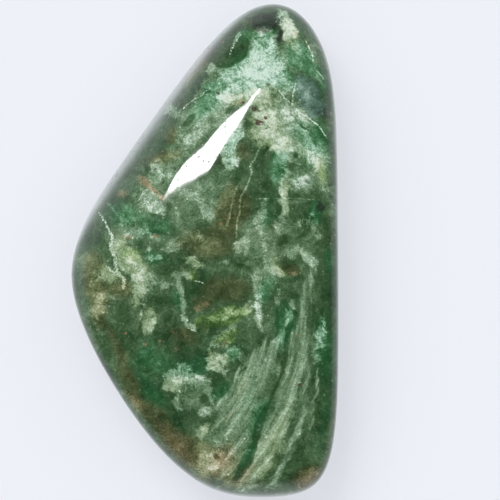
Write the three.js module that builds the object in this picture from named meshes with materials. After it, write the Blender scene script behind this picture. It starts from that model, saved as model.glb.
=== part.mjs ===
// A tumbled, polished piece of green chalcedony, lying on its back.
//
// The stone is one solid. Tumbling left it with broad, nearly flat faces that run into one another over
// rounded edges: a crown that faces up, a slope beside it, a steep flank on the upper left, a blunt nose
// on the left, a straight flank on the right, and a head that is narrower and thinner than the foot.
//
// Lengths are in millimetres and angles in degrees. +Y runs along the stone to its head, +X to its
// straight flank, and +Z is up. The origin is under the middle of the stone, on the surface it lies on.
import * as THREE from "three";
import { mergeVertices } from "three/addons/utils/BufferGeometryUtils.js";

// Where each broad face lies. heading is the way it faces in plan, counted from +X towards +Y, rise is how
// far it faces above the horizontal, and reach is how far it lies from the heart of the stone.
const BROAD_FACES = {
  crown: { heading: 0, rise: 88, reach: 4.3 },
  slope: { heading: 146, rise: 64, reach: 5.85 },
  crownToHead: { heading: 70, rise: 75, reach: 6.0 },
  crownToFoot: { heading: 262, rise: 79, reach: 6.0 },
  rightShoulder: { heading: 5, rise: 40, reach: 8.0 },
  headShoulder: { heading: 95, rise: 35, reach: 14.0 },
  footShoulder: { heading: 265, rise: 35, reach: 13.2 },
  upperLeftFlank: { heading: 145, rise: 9, reach: 7.85 },
  nose: { heading: 180, rise: -8, reach: 9.05 },
  lowerLeftFlank: { heading: 207, rise: -4, reach: 8.9 },
  footLeft: { heading: 226, rise: -4, reach: 10.65 },
  foot: { heading: 275, rise: -5, reach: 14.1 },
  footRight: { heading: 339, rise: -5, reach: 9.98 },
  straightFlank: { heading: 0, rise: -3, reach: 6.35 },
  headRight: { heading: 30, rise: 0, reach: 11.15 },
  head: { heading: 95, rise: 0, reach: 15.2 },
  headLeft: { heading: 129, rise: 4, reach: 11.8 },
  underUpperLeft: { heading: 146, rise: -48, reach: 7.5 },
  underLowerLeft: { heading: 208, rise: -44, reach: 8.0 },
  underRight: { heading: 5, rise: -42, reach: 6.7 },
  underHead: { heading: 95, rise: -40, reach: 13.4 },
  underFoot: { heading: 270, rise: -40, reach: 12.6 },
  back: { heading: 0, rise: -90, reach: 4.2 },
  backToHead: { heading: 80, rise: -73, reach: 5.9 },
  backToFoot: { heading: 262, rise: -74, reach: 6.0 },
  backToNose: { heading: 185, rise: -66, reach: 6.2 },
};

// How tightly one face turns into the next: a higher number leaves a smaller radius on every edge.
const EDGE_TIGHTNESS = 12;

// How much of the back is worn away level, which gives the stone the flat that it rests on.
const WORN_FLAT_DEPTH = 0.05;

// Half the stone's rough width, length and thickness. The mesh's points start on an ellipsoid of this size,
// so that they end up evenly spread over the stone.
const HALF_SIZE = new THREE.Vector3(7.6, 14.1, 4.3);
const EDGE_DIVISIONS = 19;

const CHALCEDONY_GREEN = 0x4b6b4b;

// The outward direction of a face, divided by its reach, so that its dot product with any point of the
// face is 1.
function faceVector({ heading, rise, reach }) {
  const turn = THREE.MathUtils.degToRad(heading);
  const lift = THREE.MathUtils.degToRad(rise);
  const flat = Math.cos(lift);
  return new THREE.Vector3(
    Math.cos(turn) * flat,
    Math.sin(turn) * flat,
    Math.sin(lift),
  ).divideScalar(reach);
}

const FACE_VECTORS = Object.values(BROAD_FACES).map(faceVector);

// How many times further from the heart a point lies than the stone's skin does in the same direction.
// The powers of all the faces that look that way are summed, which rounds the edges between them.
function depthShare(point) {
  let sum = 0;
  for (const face of FACE_VECTORS) {
    sum += Math.max(0, face.dot(point)) ** EDGE_TIGHTNESS;
  }
  return sum ** (1 / EDGE_TIGHTNESS);
}

// Moves every point of a ball of triangles along its own ray on to the skin of the stone.
function skinGeometry() {
  const ball = new THREE.IcosahedronGeometry(1, EDGE_DIVISIONS);
  ball.deleteAttribute("normal");
  ball.deleteAttribute("uv");
  const skin = mergeVertices(ball);
  const points = skin.getAttribute("position");
  const point = new THREE.Vector3();
  for (let i = 0; i < points.count; i++) {
    point.fromBufferAttribute(points, i).multiply(HALF_SIZE);
    point.divideScalar(depthShare(point));
    points.setXYZ(i, point.x, point.y, point.z);
  }
  return skin;
}

// Levels the lowest part of the back and returns the height of the flat that this leaves.
function wearFlat(geometry) {
  geometry.computeBoundingBox();
  const level = geometry.boundingBox.min.z + WORN_FLAT_DEPTH;
  const points = geometry.getAttribute("position");
  for (let i = 0; i < points.count; i++) {
    points.setZ(i, Math.max(points.getZ(i), level));
  }
  return level;
}

// Puts the origin under the middle of the stone, on its flat.
function standOnOrigin(geometry, level) {
  geometry.computeBoundingBox();
  const middle = geometry.boundingBox.getCenter(new THREE.Vector3());
  geometry.translate(-middle.x, -middle.y, -level);
}

function makeStone() {
  const geometry = skinGeometry();
  standOnOrigin(geometry, wearFlat(geometry));
  geometry.computeVertexNormals();
  const polished = new THREE.MeshStandardMaterial({
    color: CHALCEDONY_GREEN,
    roughness: 0.12,
    metalness: 0,
  });
  const stone = new THREE.Mesh(geometry, polished);
  stone.name = "stone";
  return stone;
}

const chalcedony = new THREE.Group();
chalcedony.add(makeStone());

export default chalcedony;
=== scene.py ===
"""A tumbled, polished piece of mottled green chalcedony, lying on its back on a pale surface.

The stone is one piece. Its skin follows the rule that shapes the solid which it replaces: broad faces that
run into one another over rounded edges. Its colours come from layers of markings, each with a grain of its
own.

The tables are in millimetres and degrees, in the stone's own frame: +X to its straight flank, +Y to its head
and +Z up, with the origin under the middle of the stone, on the surface that it lies on. Blender works in
metres.
"""

from __future__ import annotations

import logging
import math
from dataclasses import dataclass
from enum import Enum
from typing import Any, Mapping, Sequence

import bpy
import numpy as np
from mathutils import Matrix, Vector, noise
from mathutils.bvhtree import BVHTree


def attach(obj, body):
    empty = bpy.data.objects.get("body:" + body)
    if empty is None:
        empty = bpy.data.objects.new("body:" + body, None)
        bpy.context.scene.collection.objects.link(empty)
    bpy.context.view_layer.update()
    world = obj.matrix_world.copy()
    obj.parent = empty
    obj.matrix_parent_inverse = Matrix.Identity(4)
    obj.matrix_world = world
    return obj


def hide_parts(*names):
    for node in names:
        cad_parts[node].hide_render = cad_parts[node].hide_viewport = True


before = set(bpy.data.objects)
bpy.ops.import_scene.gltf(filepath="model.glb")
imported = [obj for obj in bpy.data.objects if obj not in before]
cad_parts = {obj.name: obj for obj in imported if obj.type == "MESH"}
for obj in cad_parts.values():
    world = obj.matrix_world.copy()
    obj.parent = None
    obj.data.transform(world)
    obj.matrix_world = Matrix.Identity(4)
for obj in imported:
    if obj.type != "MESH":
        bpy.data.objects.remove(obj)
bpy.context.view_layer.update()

LOG = logging.getLogger("chalcedony")

MM = 0.001
# A height in metres that is well above the stone, from which rays are cast down at it.
HIGH_ABOVE = 0.05
# How high the stone's widest line lies, in mm.
WIDEST_LINE_HEIGHT = 4.0

Colour = tuple[float, float, float]


def srgb(red: int, green: int, blue: int) -> Colour:
    """Turns a colour as a screen shows it into the linear one that shaders use.

    Args:
        red: the red part, 0 to 255.
        green: the green part, 0 to 255.
        blue: the blue part, 0 to 255.

    Returns:
        The three linear parts, 0 to 1.
    """

    def linear(part: int) -> float:
        """Undoes the screen's curve for one part."""
        share = part / 255
        return share / 12.92 if share <= 0.04045 else ((share + 0.055) / 1.055) ** 2.4

    return linear(red), linear(green), linear(blue)


def shades(codes: str) -> tuple[Colour, ...]:
    """Turns colours as a screen shows them into linear ones.

    Args:
        codes: the colours, each as six hexadecimal digits, with spaces between them.

    Returns:
        The linear colours, in the same order.
    """
    return tuple(srgb(*bytes.fromhex(code)) for code in codes.split())


class NodeCanvas:
    """A node tree that is being built, for a material, the world or a Geometry Nodes group."""

    def __init__(self, tree: bpy.types.NodeTree) -> None:
        """Starts on a tree, which may already hold nodes."""
        self.tree = tree

    @classmethod
    def of_group(
        cls, name: str, kind: str, inputs: Mapping[str, str], outputs: Mapping[str, str]
    ) -> NodeCanvas:
        """Starts a node group.

        Args:
            name: the group's name.
            kind: its type of tree.
            inputs: the socket type of each named input.
            outputs: the socket type of each named output.

        Returns:
            A canvas on the group's tree.
        """
        tree = bpy.data.node_groups.new(name, kind)
        for sockets, way in ((inputs, "INPUT"), (outputs, "OUTPUT")):
            for socket_name, socket_type in sockets.items():
                tree.interface.new_socket(socket_name, in_out=way, socket_type=socket_type)
        tree.nodes.new("NodeGroupInput")
        tree.nodes.new("NodeGroupOutput")
        return cls(tree)

    def given(self, name: str) -> Signal:
        """Returns one of the group's inputs."""
        return Signal(self, self.tree.nodes["Group Input"].outputs[name])

    def give(self, name: str, value: Any) -> None:
        """Feeds one of the group's outputs."""
        self.feed(self.tree.nodes["Group Output"].inputs[name], value)

    def node(
        self,
        kind: str,
        settings: Mapping[str, Any] | None = None,
        sockets: Mapping[str | int, Any] | None = None,
    ) -> bpy.types.Node:
        """Adds one node.

        Args:
            kind: the node's type.
            settings: its own settings, set before its sockets.
            sockets: a value or a link for each input that isn't left as it is.

        Returns:
            The new node.
        """
        made = self.tree.nodes.new(kind)
        for name, value in (settings or {}).items():
            if name == "stops":
                self.set_stops(made.color_ramp, value)
            else:
                setattr(made, name, value)
        for key, value in (sockets or {}).items():
            self.feed(made.inputs[key], value)
        return made

    def set_stops(self, ramp: bpy.types.ColorRamp, stops: Sequence[tuple[float, Colour]]) -> None:
        """Gives a colour ramp its stops.

        Args:
            ramp: the ramp of a new node, which has two.
            stops: the position and colour of each, two or more.
        """
        for position, colour in stops[1:-1]:
            ramp.elements.new(position).color = (*colour, 1.0)
        for element, (position, colour) in ((ramp.elements[0], stops[0]), (ramp.elements[-1], stops[-1])):
            element.position = position
            element.color = (*colour, 1.0)

    def feed(self, socket: bpy.types.NodeSocket, value: Any) -> None:
        """Links a socket to a signal or another socket, or sets its own value.

        Args:
            socket: the input.
            value: a Signal, a socket or a plain value.
        """
        source = value.socket if isinstance(value, Signal) else value
        if isinstance(source, bpy.types.NodeSocket):
            self.tree.links.new(source, socket)
        else:
            socket.default_value = source

    def signal(
        self,
        kind: str,
        settings: Mapping[str, Any] | None = None,
        sockets: Mapping[str | int, Any] | None = None,
        output: str | int = 0,
    ) -> Signal:
        """Adds one node and returns one of its outputs, ready for Python's operators.

        Args:
            kind: the node's type.
            settings: its own settings.
            sockets: a value or a link for each input.
            output: which output.

        Returns:
            The output as a Signal.
        """
        return Signal(self, self.node(kind, settings, sockets).outputs[output])

    def vector(self, operation: str, first: Any, second: Any = (0, 0, 0)) -> Signal:
        """Joins two vectors by a Vector Math node.

        Args:
            operation: the node's operation.
            first: the first vector.
            second: the second vector, or a number for SCALE.

        Returns:
            The vector, or the number for DOT_PRODUCT, LENGTH and DISTANCE.
        """
        key = "Scale" if operation == "SCALE" else 1
        is_number = operation in ("DOT_PRODUCT", "LENGTH", "DISTANCE")
        return self.signal(
            "ShaderNodeVectorMath",
            {"operation": operation},
            {0: first, key: second},
            output="Value" if is_number else "Vector",
        )

    def blend(self, share: Any, below: Any, above: Any) -> Signal:
        """Lays one colour over another.

        Args:
            share: how much of the upper colour shows, 0 to 1.
            below: the lower colour.
            above: the upper colour.

        Returns:
            The mixed colour.
        """
        lower, upper = (
            (*colour, 1.0) if isinstance(colour, tuple) else colour
            for colour in (below, above)
        )
        return self.signal(
            "ShaderNodeMix", {"data_type": "RGBA"}, {0: share, 6: lower, 7: upper}, output=2
        )

    def step(self, value: Any, low: float, high: float) -> Signal:
        """Rises smoothly from 0 to 1 as a value goes from low to high.

        Args:
            value: the signal.
            low: where the rise starts.
            high: where it ends; below low, the step falls instead.

        Returns:
            The step.
        """
        return self.signal(
            "ShaderNodeMapRange",
            {"interpolation_type": "SMOOTHSTEP"},
            {"Value": value, "From Min": low, "From Max": high},
        )

    def ramp(self, value: Any, colours: Sequence[Colour]) -> Signal:
        """Turns a number into a colour.

        Args:
            value: the number, 0 to 1.
            colours: the colours, evenly spaced from 0 to 1.

        Returns:
            The colour.
        """
        stops = [(i / (len(colours) - 1), colour) for i, colour in enumerate(colours)]
        return self.signal("ShaderNodeValToRGB", {"stops": stops}, {"Fac": value}, "Color")

    def noise(self, place: Any, scale: float, detail: float, roughness: float = 0.5) -> bpy.types.Node:
        """Adds a noise texture.

        Args:
            place: where it is read, as a vector.
            scale: features in each unit of the place.
            detail: how many finer layers it has.
            roughness: how strong the finer layers are.

        Returns:
            The node, whose Fac and Color are both of use.
        """
        return self.node(
            "ShaderNodeTexNoise",
            None,
            {"Vector": place, "Scale": scale, "Detail": detail, "Roughness": roughness},
        )


@dataclass(frozen=True)
class Signal:
    """One output of a node, on which Python's operators add Math nodes."""

    canvas: NodeCanvas
    socket: bpy.types.NodeSocket

    def math(self, operation: str, *operands: Any) -> Signal:
        """Adds a Math node.

        Args:
            operation: the node's operation.
            *operands: its inputs, in order.

        Returns:
            The node's value.
        """
        return self.canvas.signal(
            "ShaderNodeMath", {"operation": operation}, dict(enumerate(operands))
        )

    def __add__(self, other: Any) -> Signal:
        """Adds."""
        return self.math("ADD", self, other)

    __radd__ = __add__

    def __sub__(self, other: Any) -> Signal:
        """Takes away."""
        return self.math("SUBTRACT", self, other)

    def __rsub__(self, other: Any) -> Signal:
        """Takes this away from the other."""
        return self.math("SUBTRACT", other, self)

    def __mul__(self, other: Any) -> Signal:
        """Multiplies."""
        return self.math("MULTIPLY", self, other)

    __rmul__ = __mul__

    def __rtruediv__(self, other: Any) -> Signal:
        """Divides the other by this."""
        return self.math("DIVIDE", other, self)

    def __pow__(self, other: Any) -> Signal:
        """Raises to a power."""
        return self.math("POWER", self, other)

    def at_least(self, other: Any) -> Signal:
        """Returns the greater of the two."""
        return self.math("MAXIMUM", self, other)


@dataclass(frozen=True)
class BroadFace:
    """One of the stone's broad faces.

    Attributes:
        heading: the way it faces in plan, counted from +X towards +Y.
        rise: how far it faces above the horizontal.
        reach: how far it lies from the heart of the stone.
    """

    heading: float
    rise: float
    reach: float

    def measure(self) -> Vector:
        """Returns the vector whose dot product with any point of the face is 1, per metre."""
        turn, lift = math.radians(self.heading), math.radians(self.rise)
        outward = Vector(
            (math.cos(turn) * math.cos(lift), math.sin(turn) * math.cos(lift), math.sin(lift))
        )
        return outward / (self.reach * MM)


BROAD_FACES = {
    "crown": BroadFace(0, 88, 4.3),
    "slope": BroadFace(146, 64, 5.85),
    "crown to head": BroadFace(70, 75, 6.0),
    "crown to foot": BroadFace(262, 79, 6.0),
    "right shoulder": BroadFace(5, 40, 8.0),
    "head shoulder": BroadFace(95, 35, 14.0),
    "foot shoulder": BroadFace(265, 35, 13.2),
    "upper left flank": BroadFace(145, 9, 7.85),
    "nose": BroadFace(180, -8, 9.05),
    "lower left flank": BroadFace(207, -4, 8.9),
    "foot left": BroadFace(226, -4, 10.65),
    "foot": BroadFace(275, -5, 14.1),
    "foot right": BroadFace(339, -5, 9.98),
    "straight flank": BroadFace(0, -3, 6.35),
    "head right": BroadFace(30, 0, 11.15),
    "head": BroadFace(95, 0, 15.2),
    "head left": BroadFace(129, 4, 11.8),
    "under upper left": BroadFace(146, -48, 7.5),
    "under lower left": BroadFace(208, -44, 8.0),
    "under right": BroadFace(5, -42, 6.7),
    "under head": BroadFace(95, -40, 13.4),
    "under foot": BroadFace(270, -40, 12.6),
    "back": BroadFace(0, -90, 4.2),
    "back to head": BroadFace(80, -73, 5.9),
    "back to foot": BroadFace(262, -74, 6.0),
    "back to nose": BroadFace(185, -66, 6.2),
}


@dataclass(frozen=True)
class Pit:
    """A small natural pit in the upper face.

    Attributes:
        x: where it lies across the stone.
        y: where it lies along the stone.
        width: how wide it is.
        depth: how deep it is.
    """

    x: float
    y: float
    width: float
    depth: float


PITS = (
    Pit(3.1, 7.22, 0.3, 0.03),
    Pit(3.45, 7.5, 0.24, 0.015),
    Pit(-1.08, 1.22, 0.3, 0.015),
    Pit(-2.8, 4.6, 0.3, 0.015),
    Pit(5.1, -0.8, 0.3, 0.015),
)


@dataclass(frozen=True)
class Mark:
    """A soft-edged mark on the upper face, an ellipse in plan that also fades with depth.

    Attributes:
        x: where its middle lies across the stone.
        y: where its middle lies along the stone.
        length: its full size along its long axis.
        width: its full size across it.
        turn: the long axis's heading, counted from +X towards +Y.
        strength: how strongly it shows, 1 for fully.
    """

    x: float
    y: float
    length: float
    width: float
    turn: float = 0
    strength: float = 1


@dataclass(frozen=True)
class Stroke:
    """A line of even width on the upper face, such as a vein.

    Attributes:
        points: the places that it runs through.
        width: its full width.
        strength: how strongly it shows, 1 for fully.
    """

    points: tuple[tuple[float, float], ...]
    width: float
    strength: float = 1

    def marks(self) -> list[Mark]:
        """Returns one long mark for each stretch between two points."""
        made = []
        for (x, y), (next_x, next_y) in zip(self.points, self.points[1:]):
            across, along = next_x - x, next_y - y
            made.append(
                Mark(
                    x + across / 2,
                    y + along / 2,
                    math.hypot(across, along) * 1.5 + self.width,
                    self.width,
                    math.degrees(math.atan2(along, across)),
                    self.strength,
                )
            )
        return made


class Grain(Enum):
    """What frays the edge of a marking."""

    SOFT = "soft"
    CRUMBLY = "crumbly"
    FIBROUS = "fibrous"
    FINE = "fine"


@dataclass(frozen=True)
class Drift:
    """Where a marking lies.

    Attributes:
        marks: the marks and strokes that it fills on the upper face.
        grain: what frays its edge.
        edge: the depths inside a mark where it starts and where it is full.
        fray: how far the grain moves that edge.
        scatter: how much grain it takes for it to lie away from the marks, on the back.
        stray: how much the grain also makes it lie outside its marks.
        fine: whether its marks are too small to be laid on the mesh's points, so that nodes draw them.
    """

    marks: tuple[Mark | Stroke, ...]
    grain: Grain
    edge: tuple[float, float]
    fray: float
    scatter: float
    stray: float = 0
    fine: bool = False

    def all_marks(self) -> list[Mark]:
        """Returns its marks, with each stroke turned into marks."""
        made = []
        for item in self.marks:
            made += item.marks() if isinstance(item, Stroke) else [item]
        return made


@dataclass(frozen=True)
class Tone:
    """A marking that makes the stone paler or darker.

    Attributes:
        drift: where it lies.
        level: the tone that it takes the stone to, 0 for the darkest shade and 1 for the palest.
        cover: how far it takes it there.
    """

    drift: Drift
    level: float
    cover: float


@dataclass(frozen=True)
class Tint:
    """A marking with a colour of its own.

    Attributes:
        drift: where it lies.
        cover: how much it hides of what lies beneath it.
        shades: its colours, from where the stone is darkest to where it is palest.
    """

    drift: Drift
    cover: float
    shades: tuple[Colour, ...]


# The colours of each tint, from where the stone is darkest to where it is palest.
GREEN_SHADES = shades("1c301c 2a462a 3c5838 526e4e 6c8868 88a385 aec6ac dae6d8")
OLIVE_SHADES = shades("242c18 364025 485233 606a46 78825a 909871 aeb28d d4d4ba")
EMERALD_SHADES = shades("163620 224c2c 2e5c38 44744c 62926c 86b090 b0d3bc d6eadc")
CREAM_SHADES = shades("2a3c24 3e5434 566c46 708860 8aa27a a4b894 c0d2b6 dee8d6")
LIME_SHADES = shades("22361a 344e26 466432 5e7e44 76945a 8eaa72 aec494 d0debc")
SLATE_SHADES = shades("24382e 364e42 4a6658 607e6e 7a9889 94aea0 b4c6bc d4ded8")
SMOKE_SHADES = shades("18201a 28322a 364237 465246 5c685a 788474 a4ae9e d0d6ca")
OCHRE_SHADES = shades("46402a 605a3e 787152 908665 a69a78 baae8e d0c6ac e2dbc8")
RUST_SHADES = shades("18120c 241c12 362818 46341f 584128 684e32")


# Broad pale areas.
GLOW = (
    Mark(5.6, 8.9, 1.6, 1.3, -60, 0.9),
    Mark(1.2, 9.2, 3.4, 1.8, 30, 0.9),
    Mark(5.4, 11.0, 3.2, 1.8, -60, 1.5),
    Mark(4.25, 4.7, 2.8, 1.4, 85, 1.6),
    Mark(0.4, 3.2, 3.8, 2.8, 40, 1.4),
    Mark(6.8, 5.0, 3.0, 1.2, 92, 1.0),
    Mark(-3.9, 1.5, 4.4, 2.6, -30, 1.7),
    Mark(-0.8, 1.0, 4.4, 3.2, 0, 0.7),
    Mark(0.9, 3.6, 3.4, 2.8, 60, 0.8),
    Mark(-2.6, 3.6, 3.6, 2.0, 0, 0.6),
    Mark(5.2, 6.8, 4.0, 3.2, -60, 1.1),
    Mark(-0.9, 6.2, 3.0, 1.8, 35, 0.9),
    Mark(2.6, 11.0, 4.0, 3.0, 20, 0.8),
    Mark(2.6, 10.0, 6.0, 4.0, 10, 1.5),
    Mark(4.2, 8.0, 5.4, 4.5, -50, 1.2),
    Mark(0.0, 7.6, 4.5, 3.4, 45, 1.2),
    Mark(-1.4, 5.4, 3.6, 2.4, 45, 0.9),
    Mark(5.8, 5.0, 4.4, 3.0, -70, 1.3),
    Mark(5.4, 3.9, 2.0, 1.7, 0, 2.4),
    Mark(-4.0, -1.2, 5.0, 3.4, -50, 0.8),
    Mark(-2.8, 2.6, 4.0, 2.0, -36, 0.8),
    Mark(-0.6, 2.4, 3.0, 1.8, -10, 0.6),
    Mark(2.2, -8.4, 7.5, 3.0, 64, 1.1),
    Mark(4.4, -9.8, 8.5, 2.6, 68, 0.5),
    Mark(-0.8, -8.0, 4.0, 2.6, -40, 0.9),
    Mark(3.6, -0.6, 5.0, 2.4, 88, 0.8),
    Mark(4.7, 12.7, 2.6, 1.4, -72, 0.9),
    Mark(0.4, -11.9, 3.4, 2.4, 60, 1.2),
    Mark(2.4, -12.8, 3.6, 2.4, 30, 0.9),
)
# Broad dark areas. The first two darken the head and its tip: painted shade and a painted dark reflection,
# laid over the stone's own dark green.
GLOOM = (
    Mark(0.8, 11.5, 3.4, 1.8, 52, 1.6),
    Mark(3.0, 13.1, 3.2, 1.6, 20, 1.9),
    Mark(3.1, 4.6, 3.6, 1.9, 75, 0.6),
    Mark(2.6, 3.0, 2.4, 1.6, 80, 0.6),
    Mark(5.9, 1.9, 3.0, 2.4, 0),
    Mark(0.9, -2.2, 5.0, 2.4, 0, 1.4),
    Mark(-1.0, -5.3, 4.4, 2.6, -20, 1.5),
    Mark(-4.6, -4.8, 4.6, 2.4, -60, 0.7),
    Mark(-3.6, -7.4, 4.6, 2.4, -50),
    Mark(3.4, -5.2, 2.4, 1.6, 50),
    Mark(0.6, -7.4, 3.0, 1.0, 66),
    Mark(7.0, -8.4, 9.0, 2.4, 84, 1.3),
    # Darker along the foot's lower left edge: the stone's own olive, with a painted dark brown reflection.
    Mark(-1.9, -10.7, 5.4, 2.2, -46, 1.6),
    Mark(7.1, -1.4, 7.0, 1.8, 90, 1.7),
    Mark(1.4, 1.0, 4.6, 2.6, 80, 0.5),
    Mark(7.0, 8.2, 2.8, 1.2, -75, 0.9),
    Mark(6.6, 8.0, 1.8, 1.1, -60, 1.2),
    Mark(4.6, -0.9, 1.8, 1.4, 0, 0.7),
    # Darker at the foot's lower right corner: the stone's own olive, with a painted dark brown reflection.
    Mark(5.4, -13.2, 2.0, 2.4, 0, 0.8),
    Mark(-3.2, 6.6, 5.0, 1.2, 50, 0.6),
)
# Pale crumbly masses.
CLOUDS = (
    Mark(3.45, 11.6, 2.6, 1.9, 85, 2.3),
    Mark(3.5, 10.4, 3.2, 1.9, 0, 1.7),
    Mark(1.7, 9.9, 4.2, 1.5, 12, 1.5),
    Mark(0.4, 10.3, 1.0, 0.8, 80),
    Mark(0.2, 9.5, 1.6, 0.9, 30),
    Mark(3.7, 9.4, 3.4, 1.7, -10, 1.3),
    Mark(2.0, 8.7, 2.6, 1.4, 20, 1.2),
    Mark(3.4, 8.2, 2.4, 1.6, 0, 1.2),
    Mark(3.5, 7.0, 2.8, 2.2, 80, 1.8),
    Mark(4.2, 6.2, 1.8, 1.4, -40, 1.4),
    Mark(4.9, 7.8, 2.6, 1.4, -40, 1.0),
    Mark(4.7, 12.6, 2.4, 1.2, -72, 1.6),
    Mark(5.2, 11.6, 1.0, 0.5, -60, 1.2),
    Mark(4.4, 13.6, 0.7, 0.55, 0, 1.6),
    Mark(-0.3, 9.1, 2.2, 0.6, 45),
    Mark(0.4, 7.5, 2.6, 1.2, 45, 0.9),
    Mark(-0.9, 6.1, 2.2, 1.3, 35, 1.3),
    Mark(-1.9, 7.9, 1.6, 0.9, -60, 0.9),
    Mark(-2.3, 4.3, 2.4, 1.2, 15, 1.2),
    # These two brighten the patch beside the ridge's highlight: partly its own pale mint, partly a painted
    # soft edge of that highlight.
    Mark(1.35, 5.5, 2.4, 1.3, 98, 2.4),
    Mark(1.75, 6.5, 2.4, 1.0, 70, 2.0),
    Mark(1.8, 11.9, 1.5, 0.4, 64, 1.0),
    Mark(1.5, 9.2, 2.4, 1.4, 30, 1.3),
    Mark(0.9, 7.3, 1.6, 0.9, 45, 1.0),
    Mark(5.2, 6.2, 2.8, 1.8, -50, 1.3),
    Mark(5.1, 7.4, 2.8, 1.6, -55, 0.9),
    Mark(6.1, 5.6, 2.2, 1.0, -65, 1.0),
    Mark(6.7, 4.6, 3.0, 1.2, 96, 1.2),
    Mark(4.6, 5.0, 2.2, 0.8, 85, 0.9),
    Mark(5.4, 3.9, 1.8, 1.4, 0, 0.6),
    Mark(4.5, 2.9, 3.6, 0.7, 85, 1.3),
    Mark(4.1, 1.4, 1.6, 0.6, 75, 1.2),
    Mark(5.6, 1.6, 1.6, 1.4, 0, 0.5),
    Mark(3.3, 2.1, 2.2, 0.8, 78, 1.6),
    Mark(3.4, 0.3, 3.0, 0.6, 90, 0.6),
    Mark(3.9, -1.1, 1.6, 0.6, -35, 1.2),
    Mark(2.05, 0.3, 1.3, 1.0, 60, 1.2),
    Mark(1.1, -0.7, 1.2, 0.4, -10, 0.8),
    Mark(-0.2, 0.9, 0.9, 0.5, -60, 0.9),
    Mark(5.1, -0.1, 1.4, 0.9, 30, 1.1),
    Mark(5.9, -0.5, 1.6, 0.8, -60),
    Mark(6.3, 1.3, 2.0, 0.7, 100, 0.6),
    Mark(0.0, 2.3, 1.4, 1.3, 0, 0.9),
    Mark(-0.8, 3.1, 1.8, 0.6, -25, 0.9),
    Mark(-3.1, 2.6, 2.8, 0.9, -36, 1.3),
    Mark(-4.4, 1.6, 1.4, 0.9, -20, 1.1),
    Mark(-5.2, 2.2, 1.2, 0.4, -50, 0.9),
    Mark(-2.7, -0.4, 1.2, 0.35, -10, 1.3),
    Mark(-3.2, 0.05, 0.5, 0.3, 0, 1.2),
    Mark(-2.4, -1.9, 1.0, 0.5, -15),
    Mark(-4.7, 0.1, 1.5, 1.3, 0, 1.1),
    Mark(-4.0, -0.9, 3.2, 1.4, -49, 1.6),
    Mark(-3.3, -1.6, 2.2, 1.0, -35, 1.1),
    Mark(-3.9, -2.4, 2.0, 0.8, 85, 1.1),
    Mark(-3.2, -3.9, 2.0, 1.2, 80, 1.1),
    Mark(-5.4, -1.5, 2.0, 0.8, -10, 0.8),
    Mark(-6.0, -3.1, 2.8, 1.0, 88),
    Mark(-0.6, -0.6, 1.8, 0.8, -25, 1.0),
    Mark(-1.6, 0.3, 1.8, 0.9, 10, 0.8),
    Mark(-3.6, 1.1, 2.4, 1.2, 10, 0.8),
    Mark(-2.6, 4.5, 2.0, 1.4, 10, 0.8),
    Mark(-1.0, -1.45, 1.2, 0.5, -20),
    Mark(1.2, -3.7, 3.2, 0.8, 20, 0.9),
    Mark(1.2, -4.9, 2.4, 1.0, 40, 0.7),
    Mark(1.7, -5.8, 1.6, 1.2, 30, 1.0),
    Mark(0.6, -6.3, 1.5, 1.3, 0, 1.6),
    Mark(0.9, -6.9, 1.0, 0.5, -25),
    Mark(2.3, -3.3, 1.5, 0.7, 35, 1.1),
    Mark(3.0, -2.0, 1.8, 0.8, -80, 1.1),
    Mark(3.1, -3.6, 2.2, 0.7, 85, 1.1),
    Mark(4.85, -3.6, 2.2, 0.5, 82),
    Mark(4.2, -2.6, 1.2, 0.5, -85, 0.8),
    Mark(6.6, -4.5, 2.6, 1.1, 82, 0.55),
    Mark(6.4, -5.9, 1.8, 0.8, 75, 0.7),
    Mark(-1.5, -7.4, 2.4, 1.6, -5, 1.7),
    Mark(-0.3, -7.4, 1.8, 0.8, -15, 1.2),
    Mark(-1.5, -8.7, 1.6, 0.8, -60, 1.0),
    Mark(0.3, -8.2, 1.4, 0.6, -70, 1.2),
    Mark(0.1, -9.1, 1.2, 0.8, 0, 1.2),
    Mark(0.0, -10.2, 1.6, 1.1, 70, 0.7),
    Mark(-1.2, -6.5, 1.2, 0.6, -20, 0.8),
    Mark(0.3, -11.9, 2.4, 1.4, 70, 1.4),
)
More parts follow.
